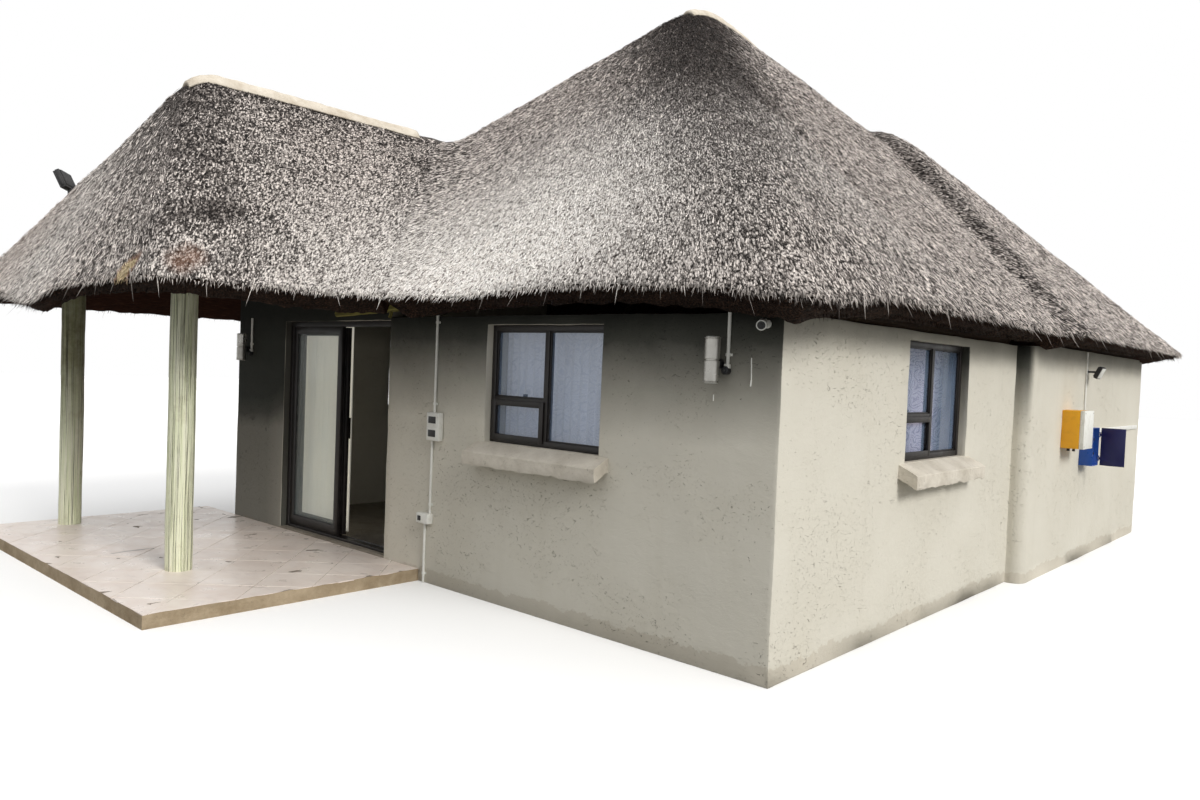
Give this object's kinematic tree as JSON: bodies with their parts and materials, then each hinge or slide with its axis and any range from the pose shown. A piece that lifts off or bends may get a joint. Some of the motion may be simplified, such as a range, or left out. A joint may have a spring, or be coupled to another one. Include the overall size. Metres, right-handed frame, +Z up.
{
  "type": "thatched rondavel-style hut with verandah",
  "caption": "Single-storey plastered hut under one swept grass-thatch roof, with a pole verandah, sliding door and wall fittings.",
  "frame": {"origin": "on the ground under the middle of the front block, below the front end of the main ridge", "axes": "+Z up, the verandah and the front wall face -Y, the long plain side wall faces +X"},
  "size_m": [8.4967, 15.1465, 6.1283],
  "materials": {
    "plaster": "rough painted plaster, matt, pitted and cracked",
    "thatch": "weathered grass thatch, dry and matt",
    "gum_pole": "peeled treated pole with drying cracks",
    "screed": "smooth cement screed",
    "stoep_tile": "satin floor tiles laid diagonally",
    "ridge_cement": "trowelled cement, weathered",
    "window_frame": "dark bronze paint, satin",
    "glass": "clear window glass",
    "sill_concrete": "rough cast concrete",
    "curtain_blue": "sheer lace curtain",
    "curtain_cream": "light cream curtain",
    "lamp_metal": "satin aluminium",
    "white_plastic": "white PVC, satin",
    "lamp_black": "black powder coat",
    "meter_orange": "orange moulded plastic",
    "switch_blue": "blue enamel"
  },
  "bodies": {
    "building": {"floor_slab": "screed", "stoep_slab": "stoep_tile", "wall_front_right": "plaster", "wall_front_left": "plaster", "wall_over_doorway": "plaster", "wall_right": "plaster", "wall_left": "plaster", "wall_rear_right": "plaster", "wall_rear_left": "plaster", "wall_rear_corners": "plaster", "wall_back": "plaster", "posts": "gum_pole", "verandah_frame": "gum_pole", "rafters_right": "gum_pole", "rafters_left": "gum_pole", "doorway_pole": "gum_pole", "thatch_front": "thatch", "thatch_right": "thatch", "thatch_left": "thatch", "thatch_back": "thatch", "thatch_verandah_front": "thatch", "thatch_verandah_right": "thatch", "thatch_verandah_left": "thatch", "ridge_caps": "ridge_cement", "window_frame_front": "window_frame", "window_frame_right": "window_frame", "window_frames_far": "window_frame", "window_glass": "glass", "window_sills": "sill_concrete", "door_frame": "window_frame", "door_fixed_panel": "window_frame", "door_fixed_glass": "glass", "window_curtains": "curtain_blue", "curtain_door": "curtain_cream", "wall_lights": "lamp_metal", "conduits": "white_plastic", "eave_camera": "white_plastic", "floodlights": "lamp_black", "meter_box": "meter_orange", "switch_box": "switch_blue"},
    "leaf": {"door_leaf": "window_frame", "door_leaf_glass": "glass"},
    "box_door": {"switch_box_door": "switch_blue"}
  },
  "joints": [
    {"name": "door_slide", "type": "slide", "parent": "building", "child": "leaf", "axis": [1, 0, 0], "range_m": [0, 0.79]},
    {"name": "box_door_hinge", "type": "hinge", "parent": "building", "child": "box_door", "pos_m": [3.618, 2.616, 0], "axis": [0, 0, 1], "range_deg": [-90, 20]}
  ]
}
